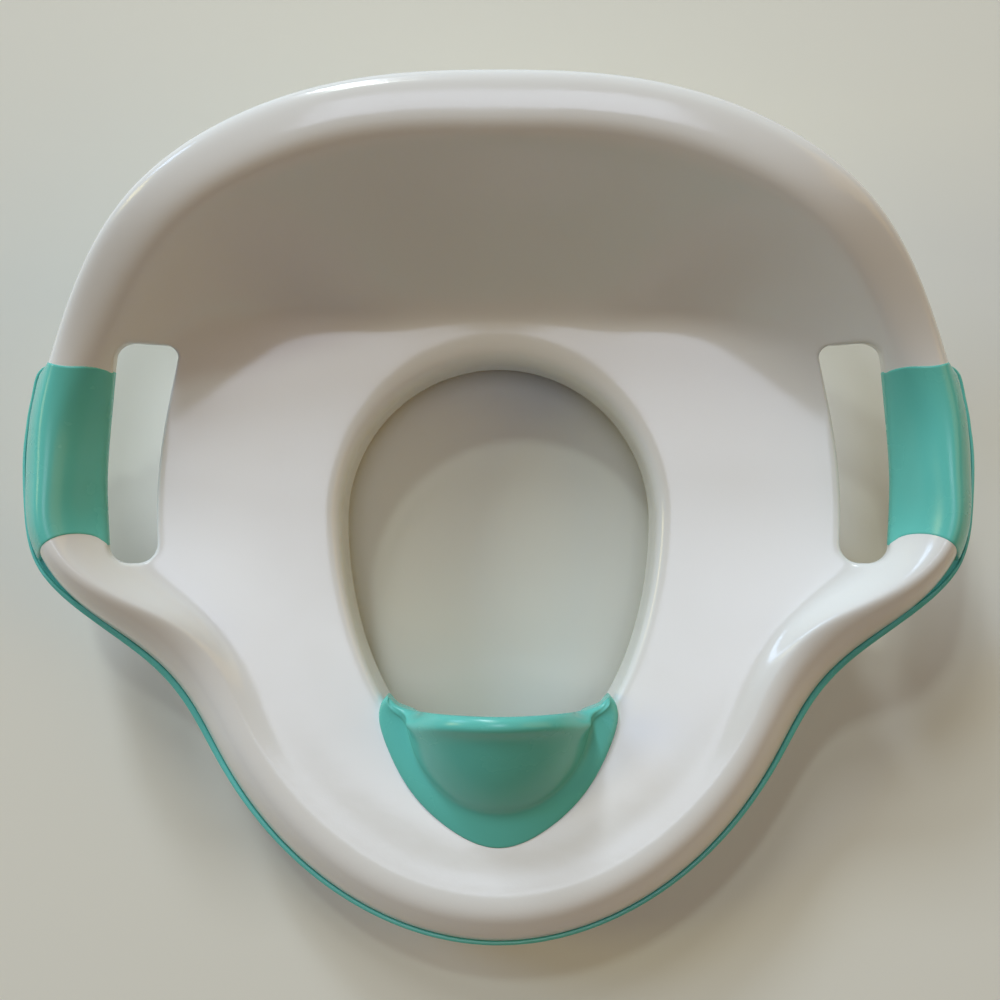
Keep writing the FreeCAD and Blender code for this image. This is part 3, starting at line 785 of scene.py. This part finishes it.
def build_grip(name, side, material):
    """Soft grip: a skin over the handle, let into the shell, with a rounded border."""
    at = grip_patch()
    base = TOP(at[..., 0].ravel(), at[..., 1].ravel()).reshape(*at.shape[:2], 3)
    nearness = np.clip(1 - at[..., 1] / GRIP_FLARE_SPANS, 0, 1)
    flare = by_angle(EDGE_SHIFT, at[..., 0]) * nearness ** GRIP_FLARE_POWER
    base[..., :2] *= 1 + (flare / np.linalg.norm(base[..., :2], axis=2))[..., None]
    normal = grid_normals(base)
    upward = np.cross(base[1, 0] - base[0, 0], base[0, 1] - base[0, 0])[2] > 0
    wrap = slot_wrap(base[0])
    slot_centre, slot_radius = SLOT_OUTER_BOW
    base[..., 2] -= roll_drop(np.linalg.norm(base[..., :2] - slot_centre, axis=2) - slot_radius)
    lift = GRIP_PROUD - GRIP_ROUND * border_fall(base, GRIP_ROUND) * GRIP_ROUND_FALL
    skin = base + normal * lift[..., None]
    wrap_back = wrap - normal[0] * [GRIP_WRAP_DEPTH, GRIP_WRAP_DEPTH, 0]
    mirror = np.array([side, 1, 1])
    build = Builder()
    outer = build.add_grid(np.concatenate([wrap, skin]) * mirror)
    inner = build.add_grid(np.concatenate([wrap_back, base - normal * GRIP_DEPTH]) * mirror)
    inside_out = upward != (side > 0)
    build.quads(outer, flip=inside_out)
    build.quads(inner, flip=not inside_out)
    rims = np.array([grid_rim(outer), grid_rim(inner)])
    build.quads(rims, flip=not inside_out, closed_columns=True)
    return build.make(name, material, sharp_deg=60)


# Non-slip edge

def edge_outline(angle):
    """The non-slip edge's section: round outside, a groove along the shell and a hook behind it."""
    edge_r, edge_z, _ = EDGE_TABLE([angle])[0]
    reach = by_angle(EDGE_REACH, angle)
    outer = edge_r + reach
    tuck = edge_r - EDGE_TUCK
    lap = edge_r - EDGE_LAP
    hook = edge_r - WALL + EDGE_LAP
    top = edge_z - EDGE_GROOVE
    bottom = edge_z - EDGE_DEPTH
    groove = min(EDGE_GROOVE_WIDE, EDGE_GROOVE_SHARE * reach)
    groove_floor = top - EDGE_GROOVE_DEEP * groove / EDGE_GROOVE_WIDE
    inner = edge_r + by_angle(EDGE_SHIFT, angle)
    r = min(EDGE_ROUND, EDGE_ROUND_SHARE * (outer - inner - groove) + EDGE_ROUND_LEAST)
    ring = [
        (lap, edge_z + EDGE_LAP_UP),
        (lap, groove_floor),
        (inner + 0.6 * groove, groove_floor),
        (inner + groove, top - 0.35 * groove),
        (inner + 1.4 * groove, top),
    ]
    for turn in np.radians(np.linspace(90, -90, EDGE_ROUND_STEPS)):
        centre_z = top - r if turn > 0 else bottom + r
        ring.append((outer - r + r * math.cos(turn), centre_z + r * math.sin(turn)))
    return ring + [
        (mix(outer, tuck, 0.5), bottom),
        (tuck + EDGE_TUCK_ROUND, bottom),
        (tuck, bottom + EDGE_TUCK_ROUND),
        (tuck, edge_z + EDGE_HOOK - EDGE_HOOK_ROUND),
        (tuck + EDGE_HOOK_ROUND, edge_z + EDGE_HOOK),
        (hook, edge_z + EDGE_HOOK),
        (hook, edge_z + EDGE_LAP_UP),
    ]


def build_edge(material):
    """Soft edge from the top of one grip round the wings and the front to the other."""
    build = Builder()
    angles = np.linspace(EDGE_START, 360 - EDGE_START, EDGE_COLUMNS)
    rows = np.array([edge_outline(angle) for angle in angles])
    grid = build.add_grid(turned(rows, angles))
    build.quads(grid, closed_columns=True)
    build.faces.append(tuple(grid[0]))
    build.faces.append(tuple(grid[-1][::-1]))
    return build.make("Non_Slip_Edge", material, sharp_deg=50)


# Splash guard

def guard_rows(turns):
    """The table of the guard, smoothed and read at the given turns from corner to corner."""
    mirror = GUARD_SECTIONS[-2::-1] * [1, -1, 1, -1, 1, -1, 1, 1, 1]
    mirror[:, 0] = 180 - mirror[:, 0]
    rows = np.vstack([GUARD_SECTIONS, mirror])
    return open_spline(rows[:, 0], rows[:, 1:], turns)


def guard_section(turn, row):
    """Closed control polygon of the guard's wall: up its front, over the bar, down its back."""
    foot, crease, bar = row[0:2], row[2:4], row[4:6]
    rise, radius = row[6:8]
    towards = (bar - foot) / np.linalg.norm(bar - foot)
    up_dome = bar - crease
    flange = crease - foot
    inside = min(radius, GUARD_NARROW * np.linalg.norm(up_dome))
    at_tip = max(0.0, math.sin(math.radians(turn))) ** 2
    base = mix(GUARD_SIDE_Z, GUARD_TIP_Z, at_tip)
    lean = GUARD_LEAN * at_tip
    deck = base + GUARD_FLANGE
    top = deck + rise
    hollow = min(1.0, rise / GUARD_HOLLOW_RISE)
    plain = 1.0 - hollow
    behind = bar + towards * BAR_OVERHANG * radius
    inner = crease + towards * GUARD_SKIN

    def back(point, height, plain_height):
        """A point of the hollow back, which closes to an upright wall where the bar is low."""
        return behind + (point - behind) * hollow, mix(plain_height, height, hollow)

    outline = [
        # edge and upper side of the flange
        (foot, base - GUARD_SINK),
        (foot, base + 0.6),
        (foot + flange * 0.05, deck - 0.6 - lean),
        (foot + flange * 0.45, deck - 0.1 * lean),
        (foot + flange * 0.85, deck + 0.2 + 0.8 * lean + 0.5 * plain),
        # crease and dome
        (foot + flange * 1.06, deck + 0.6 + 0.04 * rise + lean + 0.4 * plain),
        (crease + up_dome * 0.10, deck + 0.4 + 0.20 * rise + 0.6 * lean + 0.7 * plain),
        (crease + up_dome * 0.50, deck + 0.4 + 0.62 * rise + 0.5 * plain),
        # bar
        (bar - towards * 1.6 * inside, top - (1.0 + 0.1 * rise) * hollow + 0.6 * plain),
        (bar - towards * 0.6 * inside, top + 0.35 * radius),
        (bar + towards * 0.4 * radius, top + 0.45 * radius),
        (behind, top + 0.1 * radius),
        (behind, top - 1.2 * radius),
        # hollow back
        back(bar - towards * 0.3 * radius, top - 1.5 * radius, base + 1.0),
        back(inner + up_dome * 0.50, deck + 0.62 * rise - GUARD_SKIN, base - 1.0),
        back(inner + up_dome * 0.10, base + 0.20 * rise, base - 3.0),
        back(inner + up_dome * 0.08, base - GUARD_SINK, base - GUARD_SINK),
    ]
    return np.array([(*point, z) for point, z in outline])


def let_in(points):
    """The guard's wall, with what lies over the seat ended just under its surface."""
    flat = points.reshape(-1, 3)
    angles = np.degrees(np.arctan2(flat[:, 0], flat[:, 1]))
    hole = np.array([hole_radius(angle) for angle in angles])
    over_seat = np.hypot(flat[:, 0], flat[:, 1]) > hole + GUARD_SEAT_MARGIN
    floor = TOP.heights(flat[:, :2]) - GUARD_SEAT
    low = over_seat & (flat[:, 2] < floor)
    flat[low, 2] = mix(floor[low], flat[low, 2], GUARD_SEAT_SQUEEZE)
    return flat.reshape(points.shape)


def build_guard(material):
    """Half dome on a flange at the front of the hole, under an arched bar, hollow at its back."""
    first = GUARD_SECTIONS[0, 0]
    turns = np.linspace(first, 180 - first, GUARD_COLUMNS)
    sections = np.array([guard_section(turn, row) for turn, row in zip(turns, guard_rows(turns))])
    wall = let_in(closed_bspline(sections.transpose(1, 0, 2), GUARD_AROUND))
    build = Builder()
    grid = build.add_grid(wall)
    build.quads(grid, closed_rows=True, flip=True)
    build.faces.append(tuple(grid[:, 0]))
    build.faces.append(tuple(grid[::-1, -1]))
    return build.make("Splash_Guard", material, sharp_deg=50)


# Materials

WHITE_COLOR = (0.88, 0.88, 0.87)
WHITE_ROUGHNESS = (0.12, 0.20)     # from the glossiest spots to the dullest ones
TEAL_COLOR = (0.15, 0.63, 0.56)
TEAL_ROUGHNESS = (0.20, 0.30)
FLOOR_COLOR = (0.80, 0.79, 0.72)
FLOOR_ROUGHNESS = 0.6
FLOOR_SPECULAR = 0.2
PLASTIC_IOR = 1.49
NOISE_CORE = (0.3, 0.7)            # where most of a noise's values lie
RUB_STRETCH = (1.0, 0.12, 1.0)     # rub marks run along the handles


def new_material(name, color, roughness, specular=0.5):
    material = bpy.data.materials.new(name)
    material.use_nodes = True
    tree = material.node_tree
    shader = tree.nodes["Principled BSDF"]
    shader.inputs["Base Color"].default_value = (*color, 1)
    shader.inputs["Roughness"].default_value = roughness
    shader.inputs["IOR"].default_value = PLASTIC_IOR
    shader.inputs["Specular IOR Level"].default_value = specular
    return material, tree, shader


def noise(tree, scale, detail, stretch=(1, 1, 1)):
    place = tree.nodes.get("Texture Coordinate") or tree.nodes.new("ShaderNodeTexCoord")
    place.name = "Texture Coordinate"
    mapping = tree.nodes.new("ShaderNodeMapping")
    mapping.inputs["Scale"].default_value = stretch
    tree.links.new(place.outputs["Object"], mapping.inputs["Vector"])
    node = tree.nodes.new("ShaderNodeTexNoise")
    node.inputs["Scale"].default_value = scale
    node.inputs["Detail"].default_value = detail
    tree.links.new(mapping.outputs["Vector"], node.inputs["Vector"])
    return node.outputs["Fac"]


def uneven(tree, source, limits):
    """A noise spread between two limits."""
    node = tree.nodes.new("ShaderNodeMapRange")
    node.inputs["From Min"].default_value, node.inputs["From Max"].default_value = NOISE_CORE
    node.inputs["To Min"].default_value, node.inputs["To Max"].default_value = limits
    tree.links.new(source, node.inputs["Value"])
    return node.outputs["Result"]


def bumped(tree, source, strength, distance, under=None):
    node = tree.nodes.new("ShaderNodeBump")
    node.inputs["Strength"].default_value = strength
    node.inputs["Distance"].default_value = distance
    tree.links.new(source, node.inputs["Height"])
    if under is not None:
        tree.links.new(under, node.inputs["Normal"])
    return node.outputs["Normal"]


def white_plastic():
    """Glossy moulded plastic with a faint unevenness from its mould."""
    middle = sum(WHITE_ROUGHNESS) / 2
    material, tree, shader = new_material("White gloss plastic", WHITE_COLOR, middle)
    roughness = uneven(tree, noise(tree, 22.0, 3.0), WHITE_ROUGHNESS)
    swell = bumped(tree, noise(tree, 110.0, 2.0), 0.10, 0.0006)
    grain = bumped(tree, noise(tree, 900.0, 1.0), 0.05, 0.0002, swell)
    tree.links.new(roughness, shader.inputs["Roughness"])
    tree.links.new(grain, shader.inputs["Normal"])
    return material


def soft_teal():
    """Satin soft rubber with faint rub marks."""
    middle = sum(TEAL_ROUGHNESS) / 2
    material, tree, shader = new_material("Soft teal rubber", TEAL_COLOR, middle)
    roughness = uneven(tree, noise(tree, 45.0, 4.0), TEAL_ROUGHNESS)
    rubs = bumped(tree, noise(tree, 160.0, 5.0, RUB_STRETCH), 0.06, 0.0004)
    grain = bumped(tree, noise(tree, 2400.0, 1.0), 0.08, 0.0001, rubs)
    tree.links.new(roughness, shader.inputs["Roughness"])
    tree.links.new(grain, shader.inputs["Normal"])
    return material


def pale_floor():
    material, _, _ = new_material("Pale table", FLOOR_COLOR, FLOOR_ROUGHNESS, FLOOR_SPECULAR)
    return material


# Studio

FLOOR_SIDE = 12.0              # metres
PHOTO_SIDE = 1000
PHOTO_FOCAL = 1400.0           # focal length in the photo's pixels
SENSOR_WIDTH = 36.0
CAMERA_CLIP = (0.01, 20)       # nearest and farthest, in metres
CAMERA_HEIGHT = 617.0
CAMERA_AHEAD = -8.0            # of the plan's centre
AXIS_PIXEL = 498.5             # column of the photo that the seat's middle falls on
MIDDLE_HEIGHT = 57.0           # height at which that holds

WORLD_COLOR = (1.0, 0.35, 0.10)
WORLD_STRENGTH = 0.05

# Lights: degrees from +Y towards -X, degrees above the table, width, height, power, colour
LIGHT_DISTANCE = 6.0
LIGHT_AIM = (0.0, 0.0, 0.04)
LIGHTS = {
    "Window low": (17.0, 28.0, 0.7, 0.9, 112.0, (0.76, 0.87, 1.0)),
    "Window middle": (17.0, 40.0, 0.7, 1.0, 50.0, (0.90, 0.97, 1.0)),
    "Window top": (17.0, 52.0, 0.4, 0.4, 34.0, (0.88, 1.0, 0.96)),
    "Side window": (60.0, 30.0, 1.6, 1.6, 78.0, (0.50, 0.68, 0.94)),
    "Side wall": (85.0, 30.0, 1.6, 1.6, 50.0, (1.0, 0.88, 0.38)),
    "Ceiling": (0.0, 88.0, 2.0, 2.0, 54.0, (0.73, 0.81, 1.0)),
    "Room back": (-45.0, 40.0, 4.0, 4.0, 18.0, (0.6, 1.0, 0.9)),
    "Room right": (-90.0, 40.0, 4.0, 4.0, 56.0, (1.0, 0.60, 0.06)),
}


def add_camera():
    """The photo's camera, straight above the seat."""
    data = bpy.data.cameras.new("Camera")
    data.sensor_fit = "HORIZONTAL"
    data.sensor_width = SENSOR_WIDTH
    data.lens = SENSOR_WIDTH * PHOTO_FOCAL / PHOTO_SIDE
    data.clip_start, data.clip_end = CAMERA_CLIP
    camera = bpy.data.objects.new("Camera", data)
    bpy.context.collection.objects.link(camera)
    aside = (PHOTO_SIDE / 2 - AXIS_PIXEL) * (CAMERA_HEIGHT - MIDDLE_HEIGHT) / PHOTO_FOCAL
    camera.location = ((PLAN_CENTRE + (aside, CAMERA_AHEAD, CAMERA_HEIGHT)) * MM).tolist()
    bpy.context.scene.camera = camera


def round_about(turn, rise, distance):
    """A place at a distance from the seat, by degrees from +Y towards -X and above the table."""
    turn, rise = math.radians(turn), math.radians(rise)
    flat = distance * math.cos(rise)
    return -flat * math.sin(turn), flat * math.cos(turn), distance * math.sin(rise)


def add_light(name, turn, rise, width, height, power, color):
    data = bpy.data.lights.new(name, "AREA")
    data.shape = "RECTANGLE"
    data.size, data.size_y = width, height
    data.energy = power
    data.color = color
    lamp = bpy.data.objects.new(name, data)
    lamp.location = round_about(turn, rise, LIGHT_DISTANCE)
    toward = mathutils.Vector(LIGHT_AIM) - lamp.location
    lamp.rotation_euler = toward.to_track_quat("-Z", "Y").to_euler()
    bpy.context.collection.objects.link(lamp)


def add_floor():
    mesh = bpy.data.meshes.new("Table")
    far = FLOOR_SIDE / 2
    corners = [(-far, -far, 0), (far, -far, 0), (far, far, 0), (-far, far, 0)]
    mesh.from_pydata(corners, [], [(0, 1, 2, 3)])
    floor = bpy.data.objects.new("Table", mesh)
    bpy.context.collection.objects.link(floor)
    mesh.materials.append(pale_floor())


def add_studio():
    add_floor()
    world = bpy.data.worlds.new("Studio")
    bpy.context.scene.world = world
    world.use_nodes = True
    background = world.node_tree.nodes["Background"]
    background.inputs["Color"].default_value = (*WORLD_COLOR, 1)
    background.inputs["Strength"].default_value = WORLD_STRENGTH
    for name, light in LIGHTS.items():
        add_light(name, *light)


bpy.context.scene.view_settings.view_transform = "Standard"
add_camera()
add_studio()
WHITE = white_plastic()
TEAL = soft_teal()

for piece, node, slot in (
    (build_shell(WHITE), "seat_shell", "white_shell"),
    (build_underside(WHITE), "seat_shell", "white_shell"),
    (build_grip("Grip_Right", 1, TEAL), "grip_right", "soft_teal"),
    (build_grip("Grip_Left", -1, TEAL), "grip_left", "soft_teal"),
    (build_edge(TEAL), "non_slip_edge", "soft_teal"),
    (build_guard(TEAL), "splash_guard", "soft_teal"),
):
    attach(piece, "root")
    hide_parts(node)
